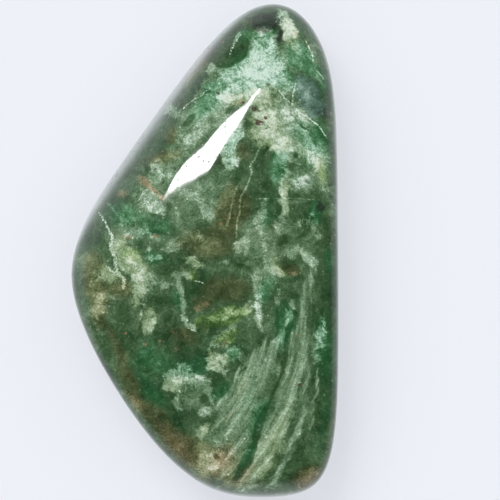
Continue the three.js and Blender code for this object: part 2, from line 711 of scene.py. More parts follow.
# The palest parts of the masses.
BLOOM = (
    Mark(3.4, 11.4, 2.6, 1.7, 85, 2.6),
    Mark(3.2, 10.4, 4.0, 1.5, 5, 1.5),
    Mark(1.4, 9.9, 2.2, 0.9, 15, 1.2),
    Mark(2.9, 9.2, 2.8, 1.4, 10, 1.5),
    Mark(1.5, 8.9, 2.2, 1.0, 30, 1.4),
    Mark(3.5, 7.4, 2.4, 1.8, 90, 1.2),
    Mark(4.0, 6.3, 1.8, 1.3, -40, 1.0),
    Mark(4.9, 7.6, 2.0, 0.9, -45, 0.5),
    Mark(4.7, 12.6, 2.2, 1.2, -72, 1.6),
    Mark(4.5, 13.5, 0.8, 0.5, -30, 1.4),
    # These two make the patch beside the ridge's highlight palest: partly its own pale mint, partly a
    # painted soft edge of that highlight.
    Mark(1.4, 5.5, 2.4, 1.4, 98, 3.0),
    Mark(1.7, 6.4, 2.2, 1.0, 70, 2.0),
    Mark(-0.6, 6.4, 1.6, 0.8, 35, 0.8),
    Mark(-2.4, 4.3, 1.6, 0.7, 15, 0.7),
    Mark(6.2, 5.2, 1.8, 0.8, -65, 0.6),
    Mark(-4.0, -0.9, 2.8, 0.8, -49, 1.0),
    Mark(-3.5, -3.4, 1.6, 0.5, 80, 0.8),
    Mark(-5.9, -2.6, 1.8, 0.5, 88, 0.4),
    Mark(3.3, 2.2, 1.6, 0.6, 78, 0.5),
    Mark(4.5, 3.2, 2.0, 0.4, 85, 0.4),
    Mark(5.4, 3.9, 1.4, 1.0, 0, 0.4),
    Mark(3.1, -3.4, 1.8, 0.5, 85, 0.6),
    Mark(5.3, -5.8, 2.4, 0.6, 80, 0.3),
    Mark(0.6, -6.2, 1.0, 0.8, 0, 1.1),
    Mark(-0.9, -7.4, 2.4, 0.8, 0, 0.9),
    Mark(0.6, -11.8, 1.8, 1.0, 70, 1.2),
    Mark(1.6, -11.6, 2.4, 0.7, 60, 0.9),
    Mark(2.7, -7.4, 4.2, 1.2, 58, 0.8),
    Mark(3.3, -12.0, 3.0, 0.7, 62, 0.6),
    Mark(1.6, -3.6, 2.4, 0.6, 24, 0.9),
    Mark(-2.9, 2.7, 2.6, 1.1, -36, 1.3),
    Mark(-3.4, 1.0, 2.0, 1.0, 10, 0.5),
)
# The curved mint stroke and the tail of the cream mass.
TRAILS = (
    Stroke(((-1.6, -1.5), (-1.2, -2.8), (-1.1, -4.0), (-0.5, -4.5)), 0.5, 0.9),
    Stroke(((-5.2, 0.4), (-4.6, -1.0), (-3.6, -2.0), (-3.4, -3.2)), 0.7, 0.7),
)
# Long fibrous streaks.
WISPS = (
    Stroke(((4.15, -5.1), (3.6, -6.4), (2.7, -8.0), (1.9, -9.6)), 1.1, 1.2),
    Stroke(((3.3, -5.5), (2.5, -6.8), (1.7, -8.2), (0.9, -9.6)), 1.2, 1.2),
    Stroke(((2.4, -9.0), (2.2, -10.4), (1.6, -11.8), (0.8, -13.2)), 1.0, 1.1),
    Stroke(((1.6, -9.4), (1.5, -10.6)), 1.1, 0.9),
    Stroke(((6.0, -1.2), (5.85, -2.2), (5.5, -3.8)), 0.8, 0.7),
    Stroke(((5.55, -3.6), (5.5, -5.2), (5.1, -6.6)), 1.1, 0.9),
    Stroke(((5.2, -6.4), (4.7, -8.4), (4.0, -10.2), (3.1, -11.9), (2.2, -13.6)), 1.7, 0.95),
    Stroke(((5.8, -7.2), (5.6, -9.0), (5.1, -10.6), (4.4, -12.2), (3.6, -13.6)), 0.6, 0.8),
    Stroke(((6.4, -6.4), (6.3, -8.2), (6.0, -9.8)), 0.3, 0.9),
    Stroke(((5.5, 11.8), (6.1, 10.6), (6.6, 9.4)), 0.5, 0.45),
    Stroke(((-2.6, 8.2), (-3.4, 7.0), (-4.4, 5.6)), 0.6, 0.5),
)
# Dark spots and gaps with a clear edge.
HOLLOWS = (
    Mark(2.0, 11.4, 1.8, 1.2, 70, 2.2),
    Mark(1.15, 10.9, 1.6, 1.3, 20, 2.4),
    Mark(0.3, 11.3, 1.6, 0.9, 50, 1.0),
    Mark(4.25, 12.2, 0.9, 0.4, -75, 1.2),
    Mark(3.3, 13.05, 1.8, 0.9, 15, 1.6),
    Mark(3.3, 5.0, 2.0, 0.9, 85, 0.5),
    Mark(3.6, 3.6, 1.3, 0.9, 0, 0.9),
    Mark(-4.6, -3.5, 2.2, 1.3, 90, 1.1),
    Mark(-2.4, -2.8, 2.0, 0.8, -15, 1.1),
    Mark(-2.1, -3.9, 1.6, 0.8, 80),
    Mark(3.9, -4.9, 1.2, 0.5, 50, 1.1),
    Mark(0.0, -8.35, 0.9, 0.6, 0, 1.2),
    Mark(-0.7, -9.3, 1.2, 0.4, -75, 1.2),
    Mark(0.6, -7.3, 0.9, 0.5, 60),
    Mark(0.8, -11.7, 0.8, 0.6, -50, 0.9),
    Mark(4.15, 2.3, 1.2, 0.5, 85, 1.3),
    Mark(4.5, 0.5, 1.1, 0.8, 0, 1.3),
    Mark(-6.6, 1.4, 1.6, 1.0, 60, 0.8),
    Mark(6.5, 2.3, 2.4, 0.7, 95, 1.0),
    Mark(5.6, 0.9, 1.6, 0.5, 20, 0.8),
    Mark(-2.6, 1.0, 2.0, 0.8, -20, 0.7),
    Mark(-4.6, 2.9, 1.6, 0.8, 30, 0.8),
    Mark(2.0, -0.9, 2.2, 0.6, -10, 0.9),
    Mark(0.1, 9.1, 1.0, 0.4, 0, 1.1),
    Mark(-0.9, 7.3, 1.4, 0.5, 60, 0.9),
    Mark(5.2, 5.4, 0.9, 0.4, -60, 0.8),
    Mark(5.6, 7.0, 1.4, 0.3, -50, 0.8),
    Mark(1.9, 7.4, 1.0, 0.4, 60, 0.6),
    Mark(4.2, -3.8, 2.4, 0.4, 85, 0.9),
    Mark(2.4, -2.4, 1.4, 0.5, 85, 0.8),
    Mark(2.9, 8.05, 0.9, 0.5, -60, 0.8),
)
# Dark gaps that run along the streaks.
GAPS = (
    Stroke(((4.9, -4.0), (4.7, -5.4), (4.4, -6.8), (3.9, -8.2), (3.3, -9.6)), 0.4, 1.1),
    Stroke(((3.4, -9.2), (2.9, -10.6), (2.4, -11.9), (1.8, -13.0)), 0.8, 1.3),
    Stroke(((5.6, -7.0), (5.2, -9.0), (4.5, -10.9), (3.6, -12.6)), 0.16, 0.9),
    Stroke(((2.6, -5.9), (1.9, -7.4), (1.2, -8.8)), 0.18, 0.7),
)
# Hairlines.
VEINS = (
    Stroke(((-5.95, 2.05), (-5.6, 1.5), (-5.45, 1.2), (-5.2, 0.7)), 0.2, 0.8),
    Stroke(((-5.2, 0.75), (-5.3, 0.2), (-5.05, -0.5), (-5.0, -1.0), (-4.7, -1.5)), 0.34, 0.9),
    Stroke(((-4.75, -1.4), (-4.55, -1.7), (-4.6, -2.2)), 0.3, 0.8),
    Stroke(((-5.5, -0.95), (-5.2, -1.2), (-4.8, -1.35), (-4.6, -1.55)), 0.2, 0.9),
    Stroke(((5.15, 9.4), (5.0, 8.9), (5.0, 8.2), (5.4, 7.8), (5.9, 7.5), (6.5, 7.0), (6.9, 6.4)), 0.13),
    Stroke(((4.0, 9.3), (4.6, 8.6), (5.0, 8.2)), 0.12, 0.8),
    Stroke(((5.7, 12.0), (6.1, 11.2), (6.15, 10.8)), 0.12, 0.8),
    Stroke(((6.3, 10.3), (6.7, 9.8)), 0.12, 0.8),
    Stroke(((1.45, 11.2), (1.7, 11.8), (2.0, 12.2)), 0.2, 0.5),
    Stroke(((-1.4, 7.9), (-0.7, 8.5), (-0.2, 8.8), (0.3, 9.2)), 0.14, 0.7),
    Stroke(((-0.9, -4.4), (-0.45, -4.6)), 0.1, 0.9),
    Stroke(((-0.6, -1.7), (-0.2, -1.8), (0.0, -1.9)), 0.1, 0.9),
    Stroke(((0.7, -11.1), (1.2, -11.6)), 0.12, 0.8),
)
# Fainter lines, where old cracks have healed.
CRACKS = (
    Stroke(((3.2, 6.0), (2.9, 5.3), (2.6, 4.8), (2.65, 4.3), (2.3, 3.4)), 0.2, 0.9),
    Stroke(((2.3, 3.5), (2.0, 2.9), (2.0, 2.2), (1.85, 1.7), (1.8, 0.9)), 0.2, 0.9),
    Stroke(((1.9, 3.7), (1.6, 3.0), (1.45, 2.1), (1.25, 1.3)), 0.22, 0.7),
    Stroke(((2.7, 2.9), (4.0, 2.95), (5.0, 2.95), (6.3, 2.85)), 0.12, 0.6),
)

OLIVE_MARKS = (
    Mark(1.4, 2.4, 4.0, 2.4, 72, 1.4),
    Mark(0.1, 0.5, 4.4, 2.4, 0, 1.3),
    Mark(0.9, -2.2, 4.4, 2.0, 0, 1.2),
    Mark(-1.2, -4.9, 3.4, 1.6, -20, 0.9),
    Mark(-2.5, 5.2, 3.2, 1.1, 12, 1.1),
    Mark(-1.9, 6.5, 1.6, 1.2, 50, 1.2),
    Mark(-6.3, -1.4, 4.0, 1.8, 95, 1.2),
    Mark(-4.8, -5.8, 4.6, 0.9, -66),
    Mark(-3.3, -8.6, 5.8, 1.6, -49, 1.3),
    Mark(-0.9, -11.4, 4.8, 2.2, -45, 1.4),
    Mark(5.8, -12.8, 2.6, 1.8, 30, 1.4),
    Mark(4.7, -1.2, 2.0, 1.0, -10),
    Mark(-0.2, -3.0, 1.5, 1.3, 0),
    Mark(2.3, 5.5, 1.2, 1.4, 60, 0.8),
    Mark(-0.6, 10.1, 3.0, 1.2, 55),
    Mark(0.3, 11.3, 2.6, 0.8, 55, 0.7),
    Mark(2.3, 2.4, 1.7, 1.1, 70),
    Mark(0.9, -11.6, 1.2, 0.8, -50),
    Mark(1.7, -13.2, 3.0, 1.2, 0),
    Mark(-4.8, -2.1, 1.9, 1.6, -30, 0.8),
    Mark(0.2, -12.2, 2.8, 1.8, 80, 1.2),
    Mark(-5.9, -3.3, 2.8, 1.2, 88),
    Mark(1.6, -12.2, 3.0, 0.9, 56, 0.7),
    Mark(3.2, -12.7, 2.8, 1.4, 58, 0.6),
    Mark(2.6, 12.9, 3.0, 1.0, 30, 0.5),
)
EMERALD_MARKS = (
    Mark(0.5, 9.3, 1.8, 0.9, -10, 1.2),
    Mark(0.0, 8.2, 3.4, 1.9, 40, 1.4),
    Mark(2.9, 10.2, 5.2, 3.0, 10, 1.8),
    Mark(3.4, 11.8, 2.6, 2.0, 85, 1.6),
    Mark(4.2, 9.6, 2.4, 1.6, -30, 1.0),
    Mark(1.6, 6.0, 3.2, 1.4, 82, 1.2),
    Mark(6.0, 6.0, 4.0, 2.0, -60, 0.8),
    Mark(2.3, 12.2, 1.4, 1.0, 40, 1.0),
    Mark(5.5, 10.9, 3.4, 1.8, -60, 1.7),
    Mark(6.6, 9.8, 3.2, 0.9, -72),
    Mark(6.6, 6.6, 3.0, 1.2, -70, 0.9),
    Mark(4.2, 4.9, 2.8, 1.1, 85, 2.2),
    Mark(6.3, 2.1, 2.2, 1.2, 100, 1.2),
    Mark(-4.5, 2.0, 3.6, 2.0, -10),
    Mark(-2.7, 1.3, 2.4, 1.8, 0, 0.8),
    Mark(-2.9, -0.4, 2.2, 1.0, -10),
    Mark(-3.2, -6.2, 4.4, 2.8, -20, 1.1),
    Mark(-0.6, -6.6, 2.4, 1.4, 10),
    Mark(1.6, -5.8, 1.8, 1.2, 20, 0.9),
    Mark(4.5, -4.4, 3.6, 1.6, 88, 1.2),
    Mark(6.7, -5.4, 4.0, 1.6, 92, 1.1),
    Mark(3.0, -9.6, 4.0, 1.4, 66, 1.1),
    Mark(2.4, -11.6, 2.4, 0.9, 64, 1.1),
    Mark(0.9, -8.0, 1.8, 1.1, 60, 0.9),
    Mark(7.0, -0.5, 2.4, 0.9, 90, 1.1),
    Mark(-3.0, -8.0, 2.6, 1.4, -50, 1.1),
    Mark(4.9, 9.4, 1.6, 1.0, -30),
    Mark(3.4, -2.2, 2.6, 1.6, 80, 0.9),
    Mark(6.8, -9.4, 7.0, 1.6, 80, 0.7),
    Mark(-1.6, -2.8, 1.8, 0.8, -75, 0.9),
    Mark(3.6, 1.8, 3.0, 1.0, 85, 0.7),
    Mark(2.6, -8.2, 5.0, 1.4, 64, 0.5),
)
CREAM_MARKS = (
    Mark(3.2, 8.7, 2.8, 1.6, 0),
    Mark(3.4, 7.0, 3.2, 2.6, 80, 1.3),
    Mark(4.2, 6.2, 1.8, 1.4, -40, 1.2),
    Mark(4.75, 12.4, 2.3, 1.3, -72, 1.4),
    Mark(1.7, 8.5, 1.6, 1.0, 20, 0.8),
    Mark(5.6, 5.6, 3.0, 1.2, -60, 0.4),
    Mark(6.6, 4.5, 2.6, 1.0, 100, 0.7),
    Mark(4.6, 3.2, 3.4, 0.8, 88, 0.8),
    Mark(-4.7, 0.1, 1.7, 1.7, 0, 1.2),
    Mark(-4.0, -0.9, 3.0, 1.7, -40, 1.3),
    Mark(-3.8, -2.4, 2.2, 1.0, 85, 1.2),
    Mark(-3.2, -3.9, 2.2, 1.6, 80, 1.2),
    Mark(-5.4, -1.5, 2.4, 1.2, -10),
    Mark(-0.7, -1.4, 1.7, 0.9, -35),
    Mark(-0.6, -0.6, 1.8, 0.9, -22),
    Mark(2.3, -3.3, 1.6, 0.8, 35),
    Mark(-0.1, -4.4, 1.3, 0.9, -60),
    Mark(0.7, -6.3, 1.8, 1.4, 0, 1.2),
    Mark(4.2, -1.0, 1.8, 0.9, -60),
    Mark(0.0, -10.2, 1.6, 1.2, 70, 0.9),
    Mark(-1.6, -7.6, 2.2, 1.3, 0, 0.7),
    Mark(3.6, -11.6, 4.4, 1.8, 64, 0.9),
    Mark(4.4, -9.4, 3.4, 1.4, 74, 0.5),
    Mark(2.2, -7.4, 4.0, 1.2, 64, 0.5),
)
LIME_MARKS = (
    Mark(1.1, -3.8, 3.8, 1.3, 20, 1.5),
    Mark(1.4, -4.9, 2.4, 0.8, 30, 0.9),
    Mark(-0.5, -1.4, 1.2, 0.9, -60, 0.8),
    Mark(-4.2, -0.2, 2.0, 1.1, -30, 0.7),
    Mark(6.7, 4.3, 2.2, 0.8, 100, 0.7),
    Mark(-0.2, -4.0, 1.0, 0.6, 30, 0.8),
)
SLATE_MARKS = (
    Mark(5.9, 8.8, 2.8, 1.8, -60, 1.3),
    Mark(6.4, 8.0, 1.6, 1.1, 0, 1.1),
    Mark(5.4, 3.9, 1.8, 1.2, 0, 0.5),
    Mark(-3.0, 7.0, 4.4, 0.9, 52, 0.6),
)
SMOKE_MARKS = (
    Mark(3.5, 12.95, 2.0, 1.3, 20, 2.0),
    Mark(4.25, 12.2, 1.2, 0.5, -75, 1.2),
    Mark(6.5, 2.5, 0.8, 0.5, 90),
    Mark(6.9, 7.8, 0.9, 0.6, -70, 0.8),
)
OCHRE_MARKS = (
    Mark(-3.4, 3.9, 1.4, 0.8, -35, 1.1),
    Mark(-2.9, 3.4, 1.6, 0.5, -40),
    Mark(-2.4, 2.95, 0.7, 0.5, 0),
    Mark(-4.75, 3.2, 1.2, 0.7, 20, 0.8),
    Mark(-4.35, 0.75, 0.9, 0.3, -5),
    Mark(-2.8, 0.8, 0.7, 0.4, 0),
    Mark(-3.35, -5.3, 0.36, 0.34, 0, 1.2),
    Mark(-0.4, -3.3, 0.7, 0.6, 0),
    Mark(0.1, -3.05, 0.7, 0.5, 0, 0.9),
    Mark(1.1, -5.25, 0.9, 0.26, 62),
    Mark(1.5, -9.3, 2.0, 0.16, 48, 0.9),
    Mark(1.3, 1.9, 1.0, 0.8, 0, 0.5),
    Mark(-1.75, -4.6, 0.3, 0.26, 0),
    Mark(0.5, -3.3, 0.2, 0.18, 0),
    Mark(-1.6, -5.6, 0.6, 0.5, 0, 0.6),
    Mark(5.0, -1.3, 1.0, 0.4, -20, 0.7),
    Mark(5.1, 12.3, 0.9, 0.6, -60, 0.6),
    Mark(2.0, 8.4, 0.8, 0.5, 20, 0.7),
    Mark(1.0, -11.9, 3.2, 1.9, 60, 1.0),
    Mark(2.4, -12.6, 3.0, 1.2, 60, 0.6),
    # A painted brown reflection along the foot's lower left edge.
    Mark(-1.6, -11.0, 5.2, 1.8, -46, 0.9),
    Mark(-3.9, -8.6, 3.0, 1.0, -52, 0.6),
    # A painted brown reflection at the foot's lower right corner.
    Mark(5.9, -13.0, 2.4, 1.6, 30, 1.0),
)
RUST_MARKS = (
    Mark(3.12, 7.2, 0.56, 0.34, 10, 1.6),
    Mark(3.0, 7.32, 0.3, 0.3, 0),
    Mark(2.8, 8.0, 0.4, 0.34, -60, 1.4),
    Mark(3.08, 7.9, 0.18, 0.16, 0),
    Mark(3.45, 7.5, 0.3, 0.26, -40, 1.3),
    Mark(2.2, 8.36, 0.4, 0.3, 0, 0.7),
    Mark(3.6, 9.4, 0.5, 0.4, 0, 0.5),
    Mark(3.5, 6.9, 0.16, 0.14, 0, 0.9),
    Mark(2.6, 7.7, 0.2, 0.16, 0, 0.7),
    Mark(-1.08, 1.22, 0.18, 0.16, 0),
    Mark(-2.8, 4.6, 0.24, 0.18, 30),
    Mark(-1.65, 4.6, 0.18, 0.16, 0),
    Mark(0.78, 8.9, 0.3, 0.2, -20),
    Mark(5.1, -0.8, 0.24, 0.18, 0),
    Mark(-5.9, -1.4, 0.18, 0.16, 0),
    Mark(5.35, -7.6, 0.5, 0.22, 30, 0.8),
    Mark(-0.85, -9.2, 0.5, 0.16, -75, 0.7),
)

TONES = {
    "glow": Tone(Drift(GLOW, Grain.SOFT, (0.0, 0.9), 0.2, 0.15), 0.6, 0.75),
    "gloom": Tone(Drift(GLOOM, Grain.SOFT, (0.0, 0.8), 0.3, 0.2), 0.2, 0.75),
    "clouds": Tone(Drift(CLOUDS, Grain.CRUMBLY, (0.05, 0.6), 0.7, 0.25, 0.3), 0.7, 0.8),
    "bloom": Tone(Drift(BLOOM, Grain.CRUMBLY, (0.05, 0.7), 0.6, 1), 0.97, 0.6),
    "trails": Tone(Drift(TRAILS, Grain.CRUMBLY, (0.05, 0.6), 0.6, 1), 0.7, 0.8),
    "wisps": Tone(Drift(WISPS, Grain.FIBROUS, (0.0, 0.8), 0.55, 0.4), 0.63, 0.9),
    "hollows": Tone(Drift(HOLLOWS, Grain.CRUMBLY, (0.2, 0.6), 0.3, 1), 0.2, 0.85),
    "gaps": Tone(Drift(GAPS, Grain.FIBROUS, (0.2, 0.7), 0.4, 1), 0.18, 0.85),
    "veins": Tone(Drift(VEINS, Grain.FINE, (0.15, 0.7), 1.0, 1, fine=True), 0.95, 0.85),
    "cracks": Tone(Drift(CRACKS, Grain.FINE, (0.1, 0.8), 0.4, 1, fine=True), 0.8, 0.65),
}

TINTS = {
    "olive": Tint(Drift(OLIVE_MARKS, Grain.SOFT, (0.0, 0.8), 0.5, 0.15, 0.8), 0.9, OLIVE_SHADES),
    "emerald": Tint(
        Drift(EMERALD_MARKS, Grain.SOFT, (0.0, 0.8), -0.5, 0.15, 0.8), 0.9, EMERALD_SHADES
    ),
    "cream": Tint(Drift(CREAM_MARKS, Grain.CRUMBLY, (0.05, 0.6), 0.4, 0.4), 0.8, CREAM_SHADES),
    "lime": Tint(Drift(LIME_MARKS, Grain.CRUMBLY, (0.05, 0.6), 0.4, 0.5), 0.85, LIME_SHADES),
    "slate": Tint(Drift(SLATE_MARKS, Grain.SOFT, (0.05, 0.6), 0.3, 0.4), 0.9, SLATE_SHADES),
    "smoke": Tint(Drift(SMOKE_MARKS, Grain.CRUMBLY, (0.1, 0.5), 0.3, 0.6), 0.9, SMOKE_SHADES),
    "ochre": Tint(Drift(OCHRE_MARKS, Grain.FINE, (0.1, 0.9), 0.5, 1, fine=True), 0.8, OCHRE_SHADES),
    "rust": Tint(Drift(RUST_MARKS, Grain.FINE, (0.15, 0.5), 0.2, 1, fine=True), 0.9, RUST_SHADES),
}


@dataclass(frozen=True)
class GrainShape:
    """How one grain is made.

    Attributes:
        scale: features in each mm.
        detail: how many finer layers it has.
        roughness: how strong the finer layers are.
        swing: how strongly it swings.
    """

    scale: float
    detail: float
    roughness: float
    swing: float


GRAIN_SHAPES = {
    Grain.SOFT: GrainShape(0.3, 3, 0.6, 3),
    Grain.CRUMBLY: GrainShape(1.0, 8, 0.8, 4),
    Grain.FIBROUS: GrainShape(3.0, 6, 0.65, 4),
    Grain.FINE: GrainShape(9, 2, 0.7, 3),
}


@dataclass(frozen=True)
class Speckle:
    """Small round dots that are scattered all over the stone.

    Attributes:
        scale: how many cells there are in a mm; about half of them have a dot.
        radius: how far each dot reaches, as a share of a cell.
        strength: how strongly the dots show.
    """

    scale: float
    radius: float
    strength: float = 1


@dataclass(frozen=True)
class PolishedChalcedony:
    """The stone's finish: a glossy polish over layered green markings.

    Attributes:
        mark_depth: how far a mark reaches into the stone, in mm.
        shown_from: the height above the surface where the marks of the shown face begin to fade in.
        shown_to: the height where they are all there.
        fibre_centre: the point, to the left of the stone, round which its fibres bend.
        polish: the roughness of the polished ground.
        pit_roughness: how much rougher the rusty spots and the chips in the polish are.
        refraction: the index of refraction of chalcedony.
        gloss: how much the polish adds to what the stone mirrors, most of it along the edges.
        ground_tone: the tone of the bare ground.
        ground_swing: how far the soft grain moves it.
        grain_in_dark: how strongly the coarse grains show where the stone is darkest.
        grain_in_pale: how much more strongly they show where it is palest.
        fine_in_pale: how strongly the fine grain shows where the stone is palest.
        crumb_loss: how much of the crumbly grain the streaks lose.
        fibre_strength: how strongly the fibrous grain shows in them.
        pale_specks: pale dots.
        brown_specks: sparse brown dots.
        brown: their colour.
        chips: the tiny chips in the polish.
        chip_depth: how deep these look, in mm.
        chip_relief: how strongly they turn the light.
        mark_shakes: the scale and reach of each noise that shakes the marks' outlines, per mm and in mm.
        shake_seed: the seed of that noise, which makes every run the same; not 0, which reads the clock.
        swirls: the scale, reach and detail of each noise that swirls the coarse grains.
        fibre_sweep: how much the fibres change along their bend, per radian.
        stray_edge: how deep inside a mark the grain starts to act fully.
        scatter_edge: how softly a layer begins on the back.
    """

    mark_depth: float = 2.4
    shown_from: float = 3.0
    shown_to: float = 5.0
    fibre_centre: tuple[float, float] = (-8.0, -3.0)
    polish: float = 0.05
    pit_roughness: float = 0.9
    refraction: float = 1.54
    gloss: float = 0.4
    ground_tone: float = 0.35
    ground_swing: float = 0.26
    grain_in_dark: float = 0.19
    grain_in_pale: float = 0.45
    fine_in_pale: float = 0.35
    crumb_loss: float = 0.6
    fibre_strength: float = 0.7
    pale_specks: Speckle = Speckle(2.2, 0.17, 0.32)
    brown_specks: Speckle = Speckle(0.9, 0.1, 0.7)
    brown: Colour = srgb(150, 124, 84)
    chips: Speckle = Speckle(4.0, 0.3)
    chip_depth: float = 0.02
    chip_relief: float = 0.5
    mark_shakes: tuple[tuple[float, float], ...] = ((0.9, 0.2), (2.6, 0.14))
    shake_seed: int = 3
    swirls: tuple[tuple[float, float, float], ...] = ((0.5, 1.6, 2), (1.7, 0.7, 3))
    fibre_sweep: float = 1.3
    stray_edge: float = 0.15
    scatter_edge: float = 0.2

    def dress(self, stone: bpy.types.Object, material: bpy.types.Material) -> None:
        """Fills in the material of the finished stone.

        Args:
            stone: the stone's mesh object, on which the marks are laid.
            material: its empty material.
        """
        skin = skin_of(stone)
        self.lay_marks(stone, skin)
        material.use_nodes = True
        material.node_tree.nodes.clear()
        canvas = NodeCanvas(material.node_tree)
        place = canvas.vector("SCALE", canvas.signal("ShaderNodeTexCoord", output="Object"), 1 / MM)
        grains = self.grains(canvas, place)
        height = canvas.signal("ShaderNodeSeparateXYZ", None, {0: place}, "Z")
        shown = canvas.step(height, self.shown_from, self.shown_to)
        covers = {}
        for name, layer in {**TONES, **TINTS}.items():
            if layer.drift.fine:
                depth = self.draw_marks(canvas, layer.drift, place, skin)
            else:
                depth = canvas.signal("ShaderNodeAttribute", {"attribute_name": name}, output="Fac")
            covers[name] = self.cover(canvas, layer.drift, depth, grains, shown)
        tone: Any = self.ground_tone + grains[Grain.SOFT] * self.ground_swing
        for name, layer in TONES.items():
            tone = tone + (layer.level - tone) * covers[name] * layer.cover
        fibrous = covers["wisps"]
        crumbs = grains[Grain.CRUMBLY] * (1 - fibrous * self.crumb_loss)
        coarse = crumbs + grains[Grain.FIBROUS] * fibrous * self.fibre_strength
        fine = grains[Grain.FINE] * (tone * self.fine_in_pale)
        tone = tone + coarse * (tone * self.grain_in_pale + self.grain_in_dark) + fine
        tone = tone + self.dots(canvas, place, self.pale_specks) * self.pale_specks.strength
        colour = canvas.ramp(tone, GREEN_SHADES)
        for name, layer in TINTS.items():
            tint = canvas.ramp(tone, layer.shades)
            colour = canvas.blend(covers[name] * layer.cover, colour, tint)
        chips = self.dots(canvas, place, self.chips)
        brown_share = self.dots(canvas, place, self.brown_specks) * self.brown_specks.strength
        colour = canvas.blend(brown_share, colour, self.brown)
        relief = {"Strength": self.chip_relief, "Distance": self.chip_depth * MM, "Height": 1 - chips}
        shader = canvas.node(
            "ShaderNodeBsdfPrincipled",
            None,
            {
                "Base Color": colour,
                "Roughness": (covers["rust"] + chips) * self.pit_roughness + self.polish,
                "IOR": self.refraction,
                "Coat Weight": self.gloss,
                "Normal": canvas.signal("ShaderNodeBump", None, relief),
            },
        )
        output = canvas.node("ShaderNodeOutputMaterial")
        canvas.feed(output.inputs["Surface"], shader.outputs["BSDF"])

    def lay_marks(self, stone: bpy.types.Object, skin: BVHTree) -> None:
        """Writes how deep each point of the stone lies inside the marks of each layer.

        Args:
            stone: the stone's mesh object, which gets one attribute for each layer.
            skin: the stone's skin, on which the marks' heights are found.
        """
        mesh = stone.data
        flat = np.empty(len(mesh.vertices) * 3)
        mesh.vertices.foreach_get("co", flat)
        places = flat.reshape(-1, 3) / MM
        noise.seed_set(self.shake_seed)
        shaken = places.copy()
        for scale, reach in self.mark_shakes:
            shaken += [noise.noise_vector(Vector(place) * scale) * reach for place in places]
        for name, layer in {**TONES, **TINTS}.items():
            if layer.drift.fine:
                continue
            depth = np.zeros(len(places))
            for mark in layer.drift.all_marks():
                turn = math.radians(mark.turn)
                across, along, up = (shaken - (mark.x, mark.y, height_at(skin, mark.x, mark.y))).T
                lengthways = (across * math.cos(turn) + along * math.sin(turn)) / (mark.length / 2)
                sideways = (along * math.cos(turn) - across * math.sin(turn)) / (mark.width / 2)
                away = np.sqrt(lengthways**2 + sideways**2 + (up / self.mark_depth) ** 2)
                depth += mark.strength * np.clip(1 - away, 0, None)
            mesh.attributes.new(name, "FLOAT", "POINT").data.foreach_set("value", depth)

    def draw_marks(self, canvas: NodeCanvas, drift: Drift, place: Signal, skin: BVHTree) -> Signal:
        """Works out by nodes how deep a point lies inside the marks of a layer.

        Args:
            canvas: the material's canvas.
            drift: where the layer lies.
            place: the place in mm.
            skin: the stone's skin, on which the marks' heights are found.

        Returns:
            The depth.
        """
        depth: Any = 0
        for mark in drift.all_marks():
            local = canvas.signal(
                "ShaderNodeMapping",
                {"vector_type": "TEXTURE"},
                {
                    "Vector": place,
                    "Location": (mark.x, mark.y, height_at(skin, mark.x, mark.y)),
                    "Rotation": (0, 0, math.radians(mark.turn)),
                    "Scale": (mark.length / 2, mark.width / 2, self.mark_depth),
                },
            )
            cone = canvas.signal(
                "ShaderNodeTexGradient", {"gradient_type": "SPHERICAL"}, {0: local}, "Fac"
            )
            depth = cone.math("MULTIPLY_ADD", cone, mark.strength, depth)
        return depth

    def grains(self, canvas: NodeCanvas, place: Signal) -> dict[Grain, Signal]:
        """Makes the grains, each swinging evenly about 0 by half a unit or so.

        Args:
            canvas: the material's canvas.
            place: the place in mm.

        Returns:
            The grains by name.
        """
        shaken = place
        for scale, reach, detail in self.swirls:
            push = canvas.noise(shaken, scale, detail, 0.6).outputs["Color"]
            centred = canvas.vector("SUBTRACT", push, (0.5, 0.5, 0.5))
            shaken = canvas.vector("ADD", shaken, canvas.vector("SCALE", centred, reach))
        split = canvas.node("ShaderNodeSeparateXYZ", None, {0: place})
        across = Signal(canvas, split.outputs["X"]) - self.fibre_centre[0]
        along = Signal(canvas, split.outputs["Y"]) - self.fibre_centre[1]
        radius = (across * across + along * along) ** 0.5
        sweep = along.math("ARCTAN2", along, across) * self.fibre_sweep
        fibre_place = canvas.signal(
            "ShaderNodeCombineXYZ",
            None,
            {"X": radius, "Y": sweep, "Z": Signal(canvas, split.outputs["Z"])},
        )
        read_at = {
            Grain.SOFT: shaken,
            Grain.CRUMBLY: shaken,
            Grain.FIBROUS: fibre_place,
            Grain.FINE: place,
        }
        return {
            name: self.grain(canvas, read_at[name], shape) for name, shape in GRAIN_SHAPES.items()
        }

    def grain(self, canvas: NodeCanvas, place: Signal, shape: GrainShape) -> Signal:
        """Makes one grain.

        Args:
            canvas: the material's canvas.
            place: where it is read.
            shape: how it is made.

        Returns:
            The grain, about 0.
        """
        made = canvas.noise(place, shape.scale, shape.detail, shape.roughness)
        return (Signal(canvas, made.outputs["Fac"]) - 0.5) * shape.swing

    def cover(
        self,
        canvas: NodeCanvas,
        drift: Drift,
        depth: Signal,
        grains: Mapping[Grain, Signal],
        shown: Signal,
    ) -> Signal:
        """Works out how fully a layer lies at a point.

        Args:
            canvas: the material's canvas.
            drift: where it lies.
            depth: how deep the point lies inside its marks.
            grains: the grains by name.
            shown: 1 on the shown face, 0 on the back.

        Returns:
            The cover, 0 to 1.
        """
        grain = grains[drift.grain]
        reach = canvas.step(depth, 0, self.stray_edge) * (1 - drift.stray) + drift.stray
        frayed = depth + grain * drift.fray * reach
        drawn = canvas.step(frayed, *drift.edge) * shown
        if drift.scatter < 1:
            full = drift.scatter + self.scatter_edge
            drawn = drawn + canvas.step(grain, drift.scatter, full) * (1 - shown)
        return drawn

